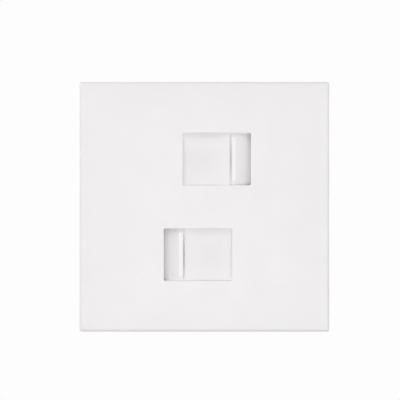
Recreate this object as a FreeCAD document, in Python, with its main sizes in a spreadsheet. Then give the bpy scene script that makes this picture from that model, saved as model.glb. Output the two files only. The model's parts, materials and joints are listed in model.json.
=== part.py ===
import FreeCAD, Part
import Sketcher
import math
import os
import re

# A frameless two-port keystone faceplate for a square wall box. The wall is the plane Y = 0, the front
# looks along -Y, Z is up, and the origin lies midway between the two fixing screws. "Height" always
# means the distance out from the wall, which is -Y. All sizes are millimetres.
#
# The two port modules are one moulding used twice, the lower one turned by half a turn. Inside a module
# "across" runs from the parked end of the door towards the jack, and "along" runs square to it.

DIMENSIONS = {
    # the clip-on cover
    "plate_side": 86.0,
    "plate_depth": 8.5,
    "cover_wall": 1.6,
    "cover_front": 1.8,
    "cover_lip": 1.0,
    "corner_round": 0.7,
    "edge_round": 1.1,
    "wall_gap": 0.2,
    "window_across": 23.46,
    "window_along": 18.05,
    "window_round": 0.65,
    "window_shift": 3.27,
    "port_pitch": 32.9,
    "port_shift": 1.0,
    "peg_diameter": 4.0,
    "peg_bore": 2.0,
    "peg_inset": 8.0,
    "cover_rib": 0.9,
    "cover_rib_rise": 1.2,
    "pry_width": 11.0,
    "pry_rise": 1.5,
    "snap_length": 12.0,
    "snap_reach": 0.6,
    "snap_rise": 1.2,
    "snap_height": 3.4,
    # the mounting frame
    "frame_base": 2.0,
    "rim_wall": 1.4,
    "rim_height": 5.0,
    "fixing_span": 60.3,
    "slot_width": 4.0,
    "slot_travel": 2.4,
    "land_diameter": 9.0,
    "land_rise": 0.5,
    "seat_border": 7.2,
    "seat_relief": 0.4,
    "rib_wall": 1.2,
    "rib_rise": 2.5,
    "rib_half": 22.0,
    # the port housing
    "port_floor": 1.6,
    "track_wall": 1.0,
    "lane_width": 3.8,
    "seat_wall": 1.2,
    "tab_length": 4.0,
    "tab_reach": 0.75,
    "jack_across": 14.9,
    "jack_along": 16.5,
    "jack_depth": 6.2,
    "toe_room": 2.0,
    "latch_room": 3.2,
    "catch_depth": 1.8,
    "catch_step": 1.6,
    "well_wall": 1.5,
    "tongue_width": 6.0,
    "tongue_slit": 0.8,
    "hook_reach": 0.8,
    "hook_rise": 1.6,
    # the sliding door
    "door_travel": 15.96,
    "door_skin": 1.2,
    "door_side_lap": 0.375,
    "door_end_lap": 1.2,
    "dish_depth": 0.7,
    "bar_width": 1.4,
    "bar_length": 15.1,
    "bar_rise": 0.3,
    "bar_lean": 0.8,
    "bar_round": 0.15,
    "groove_width": 0.7,
    "groove_depth": 0.95,
    "ramp_drop": 2.0,
    "ramp_round": 22.0,
    "toe_thick": 1.5,
    "toe_width": 1.0,
    "rail_drop": 0.75,
    "rail_width": 1.2,
    "rail_thick": 1.0,
    "arm_inset": 3.0,
    "arm_width": 2.0,
    "spigot_diameter": 2.2,
    "spigot_length": 1.5,
    # the return spring
    "wire": 0.28,
    "coil_diameter": 3.4,
    "turns": 10.0,
    "spring_length": 31.0,
    # the fixing screws
    "screw_diameter": 3.5,
    "screw_neck": 3.0,
    "screw_length": 25.0,
    "screw_point": 1.2,
    "head_diameter": 7.0,
    "head_rise": 2.4,
    "head_bevel": 0.9,
    "drive_span": 4.0,
    "drive_wing": 1.0,
    "drive_depth": 1.6,
    # running and fitting clearances
    "fit_gap": 0.2,
    "slide_gap": 0.15,
    "stop_gap": 0.25,
}

# Levels, as heights above the wall.
COVER_UNDER = "(plate_depth - cover_front)"
LIP_UNDER = "(plate_depth - cover_lip)"
TRACK_FLOOR = "(frame_base + port_floor)"
HOUSING_TOP = "(plate_depth - cover_lip - fit_gap / 2)"
DOOR_TOP = "(plate_depth - cover_lip - slide_gap)"
DOOR_UNDER = f"({DOOR_TOP} - door_skin)"
RAIL_TOP = f"({DOOR_TOP} - rail_drop)"
RAIL_UNDER = f"({RAIL_TOP} - rail_thick)"
LEDGE_TOP = f"({RAIL_UNDER} - slide_gap)"
RAMP_FOOT = f"({DOOR_TOP} - ramp_drop)"
TOE_UNDER = f"({RAMP_FOOT} - toe_thick)"
LANE_HEIGHT = f"(({TRACK_FLOOR} + {LIP_UNDER}) / 2)"
WELL_END = "(frame_base - jack_depth - catch_depth)"
CATCH_FACE = "(frame_base - jack_depth)"
HEAD_SEAT = "(frame_base + land_rise)"

# Places across a module.
WINDOW_NEAR = "(window_shift - window_across / 2)"
WINDOW_FAR = "(window_shift + window_across / 2)"
DOOR_NEAR = f"({WINDOW_NEAR} - door_end_lap)"
BAR_FOOT_AT = f"({WINDOW_NEAR} + stop_gap + door_travel)"
BAR_NEAR = f"({BAR_FOOT_AT} + groove_width)"
BAR_FAR = f"({BAR_NEAR} + bar_width)"
DISH_AT = f"(({WINDOW_NEAR} + {BAR_FOOT_AT}) / 2)"
JACK_FAR = f"({WINDOW_FAR} - stop_gap)"
JACK_NEAR = f"({JACK_FAR} - jack_across)"
TOE_FAR = f"({JACK_NEAR} - stop_gap + door_travel)"
TRACK_NEAR = f"({DOOR_NEAR} - door_travel - stop_gap)"
TRACK_FAR = f"({TOE_FAR} + stop_gap)"
ARM_FAR = f"({TOE_FAR} - arm_inset)"
ARM_NEAR = f"({ARM_FAR} - arm_width)"
SEAT_AT = f"({ARM_NEAR} - spring_length)"
WELL_NEAR = f"({JACK_NEAR} - well_wall)"
WELL_FAR = f"({JACK_FAR} + well_wall)"
HOUSING_NEAR = f"({TRACK_NEAR} - track_wall)"
HOUSING_FAR = f"(max({TRACK_FAR}; {WELL_FAR}) + track_wall)"

# Places along a module.
DOOR_HALF = "(window_along / 2 + door_side_lap)"
RAIL_HALF = f"({DOOR_HALF} + rail_width)"
TRACK_HALF = f"({RAIL_HALF} + slide_gap)"
LEDGE_INNER = f"({DOOR_HALF} + slide_gap)"
LANE_NEAR = f"({TRACK_HALF} + track_wall)"
LANE_FAR = f"({LANE_NEAR} + lane_width)"
LANE_MIDDLE = f"({LANE_NEAR} + lane_width / 2)"
HOUSING_HALF = f"({TRACK_HALF} + track_wall)"
HOUSING_TALL = f"({LANE_FAR} + track_wall)"
JACK_HALF = "(jack_along / 2)"
CAVITY_LOW = f"(-{JACK_HALF} - toe_room)"
CAVITY_HIGH = f"({JACK_HALF} + latch_room)"
WELL_LOW = f"({CAVITY_LOW} - well_wall)"
WELL_HIGH = f"({CAVITY_HIGH} + well_wall)"

FACET_SIDES = 6
FACETS_PER_TURN = 12
SAME = 1e-6

document = FreeCAD.newDocument("KeystoneFaceplate")
sheet = document.addObject("Spreadsheet::Sheet", "Dims")
for row, (name, size) in enumerate(DIMENSIONS.items(), start=1):
    sheet.set(f"A{row}", name)
    sheet.set(f"B{row}", str(size))
    sheet.setAlias(f"B{row}", name)
document.recompute()


def formula(text):
    """Point every dimension named in a formula at its cell in the sheet."""
    return re.sub(r"[a-z_]+", lambda word: f"Dims.{word[0]}" if word[0] in DIMENSIONS else word[0], text)


def value(text):
    return float(sheet.evalExpression(formula(text)))


def origin_item(body, role):
    return next(item for item in body.Origin.OriginFeatures if item.Role == role)


def sketch_on(body, name, role, offset="0", centre=("0", "0")):
    """A sketch on an origin plane: XZ_Plane faces the front, so its offset is a height above the wall."""
    sketch = body.newObject("Sketcher::SketchObject", name)
    sketch.AttachmentSupport = [(origin_item(body, role), "")]
    sketch.MapMode = "FlatFace"
    for axis, text in zip("xyz", (*centre, offset)):
        sketch.setExpression(f"AttachmentOffset.Base.{axis}", formula(text))
    return sketch


def pin(sketch, edge, end, x, y):
    """Hold one point of an edge at two formulas."""
    for kind, text in (("DistanceX", x), ("DistanceY", y)):
        index = sketch.addConstraint(Sketcher.Constraint(kind, -1, 1, edge, end, value(text)))
        sketch.setExpression(f"Constraints[{index}]", formula(text))


def size(sketch, kind, edge, text):
    index = sketch.addConstraint(Sketcher.Constraint(kind, edge, value(text)))
    sketch.setExpression(f"Constraints[{index}]", formula(text))


def arc_between(start, end, radius):
    """An arc that turns anticlockwise from its start to its end."""
    chord = end - start
    left = FreeCAD.Vector(-chord.y, chord.x, 0).normalize()
    centre = (start + end) / 2 + left * math.sqrt(radius ** 2 - chord.Length ** 2 / 4)
    turns = [math.atan2(point.y - centre.y, point.x - centre.x) for point in (start, end)]
    return Part.ArcOfCircle(Part.Circle(centre, FreeCAD.Vector(0, 0, 1), radius), *turns)


def draw_loop(sketch, corners, arcs=None):
    """A closed loop through corners, each a pair of formulas. Its edges are straight, apart from those that start
    at a corner whose number has a radius in arcs."""
    first = sketch.GeometryCount
    arcs = arcs or {}
    points = [FreeCAD.Vector(value(x), value(y), 0) for x, y in corners]
    for step, (start, end) in enumerate(zip(points, points[1:] + points[:1])):
        straight = step not in arcs
        edge = Part.LineSegment(start, end) if straight else arc_between(start, end, value(arcs[step]))
        sketch.addGeometry(edge, False)
    for step, radius in arcs.items():
        size(sketch, "Radius", first + step, radius)
    for step, (x, y) in enumerate(corners):
        following = first + (step + 1) % len(corners)
        sketch.addConstraint(Sketcher.Constraint("Coincident", first + step, 2, following, 1))
        pin(sketch, first + step, 1, x, y)


def draw_box(sketch, left, low, right, high):
    draw_loop(sketch, [(left, low), (right, low), (right, high), (left, high)])


def draw_circle(sketch, x, y, diameter):
    middle = FreeCAD.Vector(value(x), value(y), 0)
    circle = Part.Circle(middle, FreeCAD.Vector(0, 0, 1), value(diameter) / 2)
    edge = sketch.addGeometry(circle, False)
    pin(sketch, edge, 3, x, y)
    size(sketch, "Diameter", edge, diameter)


def draw_slot(sketch, x, y, reach_x, reach_y, width):
    """A round-ended slot whose end centres stand off from its middle by the two reaches."""
    middle = FreeCAD.Vector(value(x), value(y), 0)
    reach = FreeCAD.Vector(value(reach_x), value(reach_y), 0)
    radius = value(width) / 2
    turn = math.atan2(reach.y, reach.x)
    side = FreeCAD.Vector(-math.sin(turn), math.cos(turn), 0) * radius
    first = sketch.GeometryCount
    for sign in (1, -1):
        circle = Part.Circle(middle + reach * sign, FreeCAD.Vector(0, 0, 1), radius)
        quarter = math.pi / 2 * sign
        sketch.addGeometry(Part.ArcOfCircle(circle, turn - quarter, turn + quarter), False)
        start = middle + reach * sign + side * sign
        end = middle - reach * sign + side * sign
        sketch.addGeometry(Part.LineSegment(start, end), False)
    for arc, sign in ((first, ""), (first + 2, "-")):
        pin(sketch, arc, 3, f"{x} + {sign}({reach_x})", f"{y} + {sign}({reach_y})")
        size(sketch, "Radius", arc, f"{width} / 2")
        sketch.addConstraint(Sketcher.Constraint("Tangent", arc, 2, arc + 1, 1))
        following = first + (arc - first + 2) % 4
        sketch.addConstraint(Sketcher.Constraint("Tangent", arc + 1, 2, following, 1))


def extrude(body, kind, name, sketch, length, both_ways=False, backwards=False):
    feature = body.newObject(f"PartDesign::{kind}", name)
    feature.Profile = sketch
    if both_ways:
        feature.SideType = "Symmetric"
    feature.Reversed = backwards
    feature.setExpression("Length", formula(length))
    document.recompute()
    return feature


def raise_boxes(body, name, boxes, low, high):
    """Add rectangular blocks, given by their corners, between two heights above the wall."""
    sketch = sketch_on(body, f"{name}Outline", "XZ_Plane", low)
    for box in boxes:
        draw_box(sketch, *box)
    return extrude(body, "Pad", name, sketch, f"{high} - ({low})")


def sink_boxes(body, name, boxes, high, low):
    """Cut rectangular pockets from one height above the wall down to a lower one."""
    sketch = sketch_on(body, f"{name}Outline", "XZ_Plane", high)
    for box in boxes:
        draw_box(sketch, *box)
    return extrude(body, "Pocket", name, sketch, f"{high} - ({low})")


def revolve(body, kind, name, sketch, axis):
    feature = body.newObject(f"PartDesign::{kind}", name)
    feature.Profile = sketch
    feature.ReferenceAxis = (sketch, [axis])
    document.recompute()
    return feature


def soften(body, kind, name, radius, chosen):
    """Round or bevel the edges of the solid so far that pass a test."""
    base = body.Tip
    names = [f"Edge{i}" for i, edge in enumerate(base.Shape.Edges, 1) if chosen(edge)]
    feature = body.newObject(f"PartDesign::{kind}", name)
    feature.Base = (base, names)
    feature.setExpression("Radius" if kind == "Fillet" else "Size", formula(radius))
    document.recompute()
    return feature


def around_plate(body, name, originals):
    """Repeat features on all four sides of the square plate."""
    pattern = body.newObject("PartDesign::PolarPattern", name)
    pattern.Originals = originals
    pattern.Axis = (origin_item(body, "Y_Axis"), [""])
    pattern.Angle = 360
    pattern.Occurrences = 4
    body.Tip = pattern
    document.recompute()
    return pattern


def new_body(name):
    body = document.addObject("PartDesign::Body", name)
    body.Label = name
    return body


def square(half):
    return f"-({half})", f"-({half})", half, half


def in_plate(side, near, low, far, high):
    """A module's rectangle in the plate's own frame: side is "" for the upper module, "-" for the lower."""
    across = [f"port_shift + {side}({place})" for place in (near, far)]
    along = [f"{side}(port_pitch / 2 + {place})" for place in (low, high)]
    return across[0], along[0], across[1], along[1]


def at_height(edge, text):
    """True for an edge that lies flat at one height above the wall."""
    box = edge.BoundBox
    return box.YLength < SAME and abs(box.YMin + value(text)) < SAME


def is_upright(edge):
    """True for a straight edge that runs square to the wall."""
    box = edge.BoundBox
    return box.XLength < SAME and box.ZLength < SAME


def is_window_corner(edge):
    """True for the windows' upright corners, but for the upper window's two on its dish side, which stay sharp."""
    box = edge.BoundBox
    dish_side = abs(box.XMin - value(f"port_shift + {WINDOW_NEAR}")) < SAME and box.ZMin > 0
    return is_upright(edge) and abs(box.YMin + value("plate_depth")) < SAME and not dish_side


def make_cover():
    cover = new_body("cover_plate")
    half = "plate_side / 2"
    inner = f"({half} - cover_wall)"
    raise_boxes(cover, "Slab", [square(half)], "wall_gap", "plate_depth")
    soften(cover, "Fillet", "CornerRound", "corner_round", is_upright)
    soften(cover, "Fillet", "FrontRound", "edge_round", lambda edge: at_height(edge, "plate_depth"))
    sink_boxes(cover, "Hollow", [square(inner)], COVER_UNDER, "wall_gap")

    recess = (f"{HOUSING_NEAR} - fit_gap", f"-{HOUSING_HALF} - fit_gap",
              f"{HOUSING_FAR} + fit_gap", f"{HOUSING_TALL} + fit_gap")
    window = (WINDOW_NEAR, "-window_along / 2", WINDOW_FAR, "window_along / 2")
    sides = ("", "-")
    sink_boxes(cover, "PortRecess", [in_plate(side, *recess) for side in sides], LIP_UNDER, COVER_UNDER)
    sink_boxes(cover, "Window", [in_plate(side, *window) for side in sides], "plate_depth", LIP_UNDER)
    soften(cover, "Fillet", "WindowRound", "window_round", is_window_corner)

    peg_at = f"({half} - peg_inset)"
    rib_low = f"({COVER_UNDER} - cover_rib_rise)"
    rib_lines = [square(f"{peg_at} + cover_rib / 2"), square(f"{peg_at} - cover_rib / 2")]
    raise_boxes(cover, "Rib", rib_lines, rib_low, COVER_UNDER)
    peg_outline = sketch_on(cover, "PegOutline", "XZ_Plane", "frame_base + fit_gap / 2")
    draw_circle(peg_outline, peg_at, peg_at, "peg_diameter")
    peg = extrude(cover, "Pad", "Peg", peg_outline, f"{COVER_UNDER} - frame_base - fit_gap / 2")
    bore_outline = sketch_on(cover, "PegBoreOutline", "XZ_Plane", rib_low)
    draw_circle(bore_outline, peg_at, peg_at, "peg_bore")
    bore = extrude(cover, "Pocket", "PegBore", bore_outline, f"{rib_low} - frame_base - fit_gap / 2")
    around_plate(cover, "Pegs", [peg, bore])

    snap_outline = sketch_on(cover, "SnapOutline", "YZ_Plane")
    root, tip = f"-{inner} - cover_wall / 2", f"-{inner} + fit_gap + snap_reach"
    draw_loop(snap_outline, [
        ("-snap_height - snap_rise / 2", root),
        ("-snap_height - snap_rise / 2", f"-{inner}"),
        ("-snap_height - snap_rise / 6", tip),
        ("-snap_height + snap_rise / 6", tip),
        ("-snap_height + snap_rise / 2", f"-{inner}"),
        ("-snap_height + snap_rise / 2", root),
    ])
    snap = extrude(cover, "Pad", "Snap", snap_outline, "snap_length", both_ways=True)
    around_plate(cover, "Snaps", [snap])
    pry = ("-pry_width / 2", f"-{half} - cover_wall", "pry_width / 2", f"-{inner}")
    sink_boxes(cover, "PrySlot", [pry], "wall_gap + pry_rise", "wall_gap")
    return cover


def make_frame():
    frame = new_body("mounting_frame")
    half = "(plate_side / 2 - cover_wall - fit_gap)"
    raise_boxes(frame, "Base", [square(half)], "0", "frame_base")
    raise_boxes(frame, "Rim", [square(half), square(f"{half} - rim_wall")], "frame_base", "rim_height")
    catch_outline = sketch_on(frame, "CatchOutline", "XY_Plane", f"-{half} + rim_wall")
    catch_half = "(snap_rise / 2 + fit_gap)"
    draw_box(catch_outline, "-snap_length / 2 - fit_gap", f"-snap_height - {catch_half}",
             "snap_length / 2 + fit_gap", f"-snap_height + {catch_half}")
    catch = extrude(frame, "Pocket", "Catch", catch_outline, "rim_wall")
    around_plate(frame, "Catches", [catch])

    opening = (f"{WELL_NEAR} - fit_gap", f"{WELL_LOW} - fit_gap", f"{WELL_FAR} + fit_gap", f"{WELL_HIGH} + fit_gap")
    sink_boxes(frame, "PortOpening", [in_plate(side, *opening) for side in ("", "-")], "frame_base", "0")
    sink_boxes(frame, "SeatRelief", [square(f"{half} - seat_border")], "seat_relief", "0")

    land_outline = sketch_on(frame, "LandOutline", "XZ_Plane", "frame_base")
    slot_outline = sketch_on(frame, "SlotOutline", "XZ_Plane", HEAD_SEAT)
    for x, reach in (("-fixing_span / 2", ("slot_travel / 2", "0")), ("fixing_span / 2", ("0", "slot_travel / 2"))):
        draw_circle(land_outline, x, "0", "land_diameter")
        draw_slot(slot_outline, x, "0", *reach, "slot_width")
    extrude(frame, "Pad", "Land", land_outline, "land_rise")
    extrude(frame, "Pocket", "Slot", slot_outline, HEAD_SEAT)

    rib_at = f"(port_pitch / 2 + {WELL_HIGH} + fit_gap + rib_wall)"
    ribs = [("-rib_half", f"{place} - rib_wall / 2", "rib_half", f"{place} + rib_wall / 2")
            for place in (f"-{rib_at}", "0", rib_at)]
    raise_boxes(frame, "RearRib", ribs, "-rib_rise", "seat_relief")
    return frame


def cap_radius(reach, depth):
    """The radius of an arc or ball that sinks by the depth in its middle and runs out at the reach."""
    return f"(pow({reach}; 2) / (2 * {depth}) + {depth} / 2)"


def seat_module(body, side):
    """Put a module's piece at its port: the lower port is the upper one turned by half a turn."""
    turn = FreeCAD.Rotation(FreeCAD.Vector(0, 1, 0), 180 if side else 0)
    body.Placement = FreeCAD.Placement(FreeCAD.Vector(), turn)
    body.setExpression("Placement.Base.x", formula("port_shift"))
    body.setExpression("Placement.Base.z", formula(f"{side}port_pitch / 2"))


def make_housing(name, side):
    housing = new_body(name)
    tray = (HOUSING_NEAR, f"-{HOUSING_HALF}", HOUSING_FAR, HOUSING_TALL)
    raise_boxes(housing, "Tray", [tray], "frame_base", HOUSING_TOP)
    track = (TRACK_NEAR, f"-{TRACK_HALF}", TRACK_FAR, TRACK_HALF)
    lane = (SEAT_AT, LANE_NEAR, TRACK_FAR, LANE_FAR)
    lane_end = (TRACK_NEAR, LANE_NEAR, f"{SEAT_AT} - seat_wall", LANE_FAR)
    sink_boxes(housing, "Track", [track, lane, lane_end], HOUSING_TOP, TRACK_FLOOR)
    ledges = [(TRACK_NEAR, f"{sign}{LEDGE_INNER}", TRACK_FAR, f"{sign}{TRACK_HALF}") for sign in ("", "-")]
    raise_boxes(housing, "Ledge", ledges, TRACK_FLOOR, LEDGE_TOP)
    arm_gap_near = f"({ARM_NEAR} - door_travel - stop_gap)"
    arm_gap = (arm_gap_near, TRACK_HALF, f"{ARM_FAR} + stop_gap", LANE_NEAR)
    sink_boxes(housing, "ArmGap", [arm_gap], HOUSING_TOP, LEDGE_TOP)
    tabs = [(f"{near} - tab_length", f"{sign}({TRACK_HALF} - tab_reach)", near, f"{sign}{TRACK_HALF}")
            for near in (f"{TRACK_NEAR} + tab_length * 2", arm_gap_near) for sign in ("", "-")]
    tabs.append((f"{ARM_NEAR} - tab_length", f"-({TRACK_HALF} - tab_reach)", ARM_NEAR, f"-{TRACK_HALF}"))
    raise_boxes(housing, "Tab", tabs, f"{RAIL_TOP} + slide_gap", HOUSING_TOP)

    raise_boxes(housing, "Well", [(WELL_NEAR, WELL_LOW, WELL_FAR, WELL_HIGH)], WELL_END, "frame_base")
    sink_boxes(housing, "JackMouth", [(JACK_NEAR, f"-{JACK_HALF}", JACK_FAR, JACK_HALF)], TRACK_FLOOR, "frame_base")
    sink_boxes(housing, "JackCavity", [(JACK_NEAR, CAVITY_LOW, JACK_FAR, CAVITY_HIGH)], "frame_base", CATCH_FACE)
    rear_mouth = (JACK_NEAR, f"-{JACK_HALF}", JACK_FAR, f"{CAVITY_HIGH} - catch_step")
    sink_boxes(housing, "RearMouth", [rear_mouth], CATCH_FACE, WELL_END)
    slits = [(near, f"{sign}tongue_width / 2", far, f"{sign}(tongue_width / 2 + tongue_slit)")
             for near, far in ((WELL_NEAR, JACK_NEAR), (JACK_FAR, WELL_FAR)) for sign in ("", "-")]
    sink_boxes(housing, "TongueSlit", slits, "frame_base / 2", WELL_END)
    hook_outline = sketch_on(housing, "HookOutline", "XY_Plane")
    catch_at = "(fit_gap / 2 - seat_relief)"
    for face, out in ((WELL_NEAR, "-"), (WELL_FAR, "")):
        draw_loop(hook_outline, [
            (face, catch_at),
            (f"{face} + {out}hook_reach", catch_at),
            (f"{face} + {out}hook_reach", f"{catch_at} + hook_rise / 4"),
            (face, f"{catch_at} + hook_rise"),
        ])
    extrude(housing, "Pad", "Hook", hook_outline, "tongue_width", both_ways=True)
    spigot_outline = sketch_on(housing, "SpigotOutline", "YZ_Plane", SEAT_AT)
    draw_circle(spigot_outline, f"-{LANE_HEIGHT}", LANE_MIDDLE, "spigot_diameter")
    extrude(housing, "Pad", "Spigot", spigot_outline, "spigot_length")
    seat_module(housing, side)
    return housing


def make_shutter(name, side):
    """The finger dish is a ball's cap, and the groove at the foot of the bar is cut by a wide disc, so both run out
    to nothing at their ends."""
    door = new_body(name)
    slab_low = f"({DOOR_UNDER} - dish_depth)"
    slab = (DOOR_NEAR, f"-{DOOR_HALF}", BAR_FOOT_AT, DOOR_HALF)
    raise_boxes(door, "Slab", [slab], slab_low, DOOR_TOP)
    reach = f"sqrt(pow(window_along / 2; 2) + pow(({BAR_FOOT_AT} - {WINDOW_NEAR}) / 2; 2))"
    radius = cap_radius(reach, "dish_depth")
    dish = door.newObject("PartDesign::SubtractiveSphere", "Dish")
    dish.setExpression("Radius", formula(radius))
    dish.setExpression("Placement.Base.x", formula(DISH_AT))
    dish.setExpression("Placement.Base.y", formula(f"-({DOOR_TOP} - dish_depth + {radius})"))
    document.recompute()
    back = sketch_on(door, "DishBackSection", "XY_Plane", centre=(DISH_AT, "0"))
    clear = f"({reach} + door_end_lap * 2)"
    draw_loop(back, [
        (f"{reach} / 4", f"-{slab_low}"),
        (reach, f"-{DOOR_UNDER}"),
        (clear, f"-{DOOR_UNDER}"),
        (clear, f"-({slab_low} - door_skin)"),
        (f"{reach} / 4", f"-({slab_low} - door_skin)"),
    ])
    revolve(door, "Groove", "DishBack", back, "V_Axis")

    step = "(dish_depth / 2)"
    ramp = sketch_on(door, "RampSection", "XY_Plane")
    draw_loop(ramp, [
        (BAR_FOOT_AT, f"-({DOOR_TOP} - {step})"),
        (BAR_NEAR, f"-{DOOR_TOP}"),
        (BAR_FAR, f"-{DOOR_TOP}"),
        (TOE_FAR, f"-{RAMP_FOOT}"),
        (TOE_FAR, f"-{TOE_UNDER}"),
        (f"{TOE_FAR} - toe_width", f"-{TOE_UNDER}"),
        (BAR_FAR, f"-{DOOR_UNDER}"),
        (BAR_FOOT_AT, f"-({DOOR_UNDER} - {step})"),
    ], arcs={2: "ramp_round"})
    extrude(door, "Pad", "Ramp", ramp, f"{DOOR_HALF} * 2", both_ways=True)
    cutter_radius = cap_radius("bar_length / 2", "groove_depth")
    groove = door.newObject("PartDesign::SubtractiveCylinder", "FootGroove")
    groove.Placement = FreeCAD.Placement(FreeCAD.Vector(), FreeCAD.Rotation(FreeCAD.Vector(0, 1, 0), 90))
    groove.setExpression("Radius", formula(cutter_radius))
    groove.setExpression("Height", formula("groove_width"))
    groove.setExpression("Placement.Base.x", formula(BAR_FOOT_AT))
    groove.setExpression("Placement.Base.y", formula(f"-({DOOR_TOP} - groove_depth + {cutter_radius})"))
    document.recompute()
    bar_top = f"({DOOR_TOP} + bar_rise)"
    bar_root = f"({DOOR_TOP} - groove_depth - bar_rise)"
    bar = sketch_on(door, "BarSection", "XY_Plane")
    draw_loop(bar, [
        (f"{BAR_NEAR} - bar_lean", f"-{bar_root}"),
        (BAR_NEAR, f"-{bar_top}"),
        (BAR_FAR, f"-{bar_top}"),
        (BAR_FAR, f"-{DOOR_TOP}"),
        (BAR_NEAR, f"-{bar_root}"),
    ])
    extrude(door, "Pad", "Bar", bar, "bar_length", both_ways=True)
    soften(door, "Fillet", "BarRound", "bar_round", lambda edge: at_height(edge, bar_top))

    rails = [(DOOR_NEAR, f"{sign}{DOOR_HALF}", ARM_FAR, f"{sign}{RAIL_HALF}") for sign in ("", "-")]
    skirts = [(DOOR_NEAR, f"{sign}({DOOR_HALF} - rail_width)", BAR_FOOT_AT, f"{sign}{DOOR_HALF}")
              for sign in ("", "-")]
    raise_boxes(door, "Rail", rails, RAIL_UNDER, RAIL_TOP)
    raise_boxes(door, "Skirt", skirts, RAIL_UNDER, DOOR_UNDER)
    pusher_far = f"{LANE_FAR} - slide_gap"
    raise_boxes(door, "Arm", [(ARM_NEAR, RAIL_HALF, ARM_FAR, pusher_far)], RAIL_UNDER, RAIL_TOP)
    pusher = (ARM_NEAR, f"{LANE_NEAR} + slide_gap", ARM_FAR, pusher_far)
    raise_boxes(door, "Pusher", [pusher], f"({TRACK_FLOOR} + stop_gap)", f"({LIP_UNDER} - stop_gap)")
    spigot = sketch_on(door, "SpigotOutline", "YZ_Plane", ARM_NEAR)
    draw_circle(spigot, f"-{LANE_HEIGHT}", LANE_MIDDLE, "spigot_diameter")
    extrude(door, "Pad", "Spigot", spigot, "spigot_length", backwards=True)
    seat_module(door, side)
    return door


def make_spring(name, side):
    """A wire coil along its lane, from the seat to the door's pusher, as flat-sided wire."""
    spring = document.addObject("Part::Feature", name)
    spring.Label = name
    wire = value("wire")
    radius = (value("coil_diameter") - wire) / 2
    play = wire / 4
    start, end = value(SEAT_AT) + wire / 2 + play, value(ARM_NEAR) - wire / 2 - play
    steps = round(value("turns") * FACETS_PER_TURN)
    middle = FreeCAD.Vector(0, -value(LANE_HEIGHT), value(LANE_MIDDLE))
    rings = []
    for step in range(steps + 1):
        turn = 2 * math.pi * step / FACETS_PER_TURN
        outward = FreeCAD.Vector(0, math.cos(turn), math.sin(turn))
        centre = middle + outward * radius + FreeCAD.Vector(start + (end - start) * step / steps, 0, 0)
        across = FreeCAD.Vector(1, 0, 0)
        rings.append([centre + (outward * math.cos(side_turn) + across * math.sin(side_turn)) * (wire / 2)
                      for side_turn in (2 * math.pi * i / FACET_SIDES for i in range(FACET_SIDES))])
    loops = [Part.makePolygon(ring + ring[:1]) for ring in rings]
    spring.Shape = Part.makeLoft(loops, True, True)
    seat_module(spring, side)
    return spring


def make_screw(name, side):
    """The neck is thinner than the thread, so that the frame's slot keeps the screw from falling out."""
    screw = new_body(name)
    section = sketch_on(screw, "Section", "XY_Plane")
    shank = "screw_diameter / 2"
    tip = f"(screw_length - {HEAD_SEAT})"
    head_top = f"({HEAD_SEAT} + head_rise)"
    draw_loop(section, [
        ("0", f"-{head_top}"),
        ("head_diameter / 2", f"-{head_top}"),
        ("head_diameter / 2", f"-{HEAD_SEAT}"),
        ("screw_neck / 2", f"-{HEAD_SEAT}"),
        ("screw_neck / 2", "0"),
        (shank, "0"),
        (shank, f"{tip} - screw_point"),
        (f"{shank} - screw_point / 2", tip),
        ("0", tip),
    ])
    revolve(screw, "Revolution", "Turned", section, "V_Axis")
    soften(screw, "Chamfer", "HeadBevel", "head_bevel", lambda edge: at_height(edge, head_top))
    for turned, (x, z) in enumerate((("drive_span / 2", "drive_wing / 2"), ("drive_wing / 2", "drive_span / 2"))):
        wing = (f"-{x}", f"-{z}", x, z)
        sink_boxes(screw, f"Drive{turned}", [wing], head_top, f"({head_top} - drive_depth)")
    screw.setExpression("Placement.Base.x", formula(f"{side}fixing_span / 2"))
    return screw


pieces = [make_cover(), make_frame()]
for port, turned in (("upper", ""), ("lower", "-")):
    pieces.append(make_housing(f"{port}_port_housing", turned))
    pieces.append(make_shutter(f"{port}_shutter", turned))
    pieces.append(make_spring(f"{port}_shutter_spring", turned))
for hand, side in (("left", "-"), ("right", "")):
    pieces.append(make_screw(f"{hand}_fixing_screw", side))
document.recompute()

for item in document.Objects:
    if {"Invalid", "Error"} & set(item.State):
        raise RuntimeError(f"{item.Label} failed: {item.State}")
for piece in pieces:
    if piece.Shape.isNull() or not piece.Shape.isValid():
        raise RuntimeError(f"{piece.Label} has no valid shape")

os.makedirs("parts", exist_ok=True)
for piece in pieces:
    piece.Shape.exportStep(f"parts/{piece.Label}.step")
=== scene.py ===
import json
import math

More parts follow.
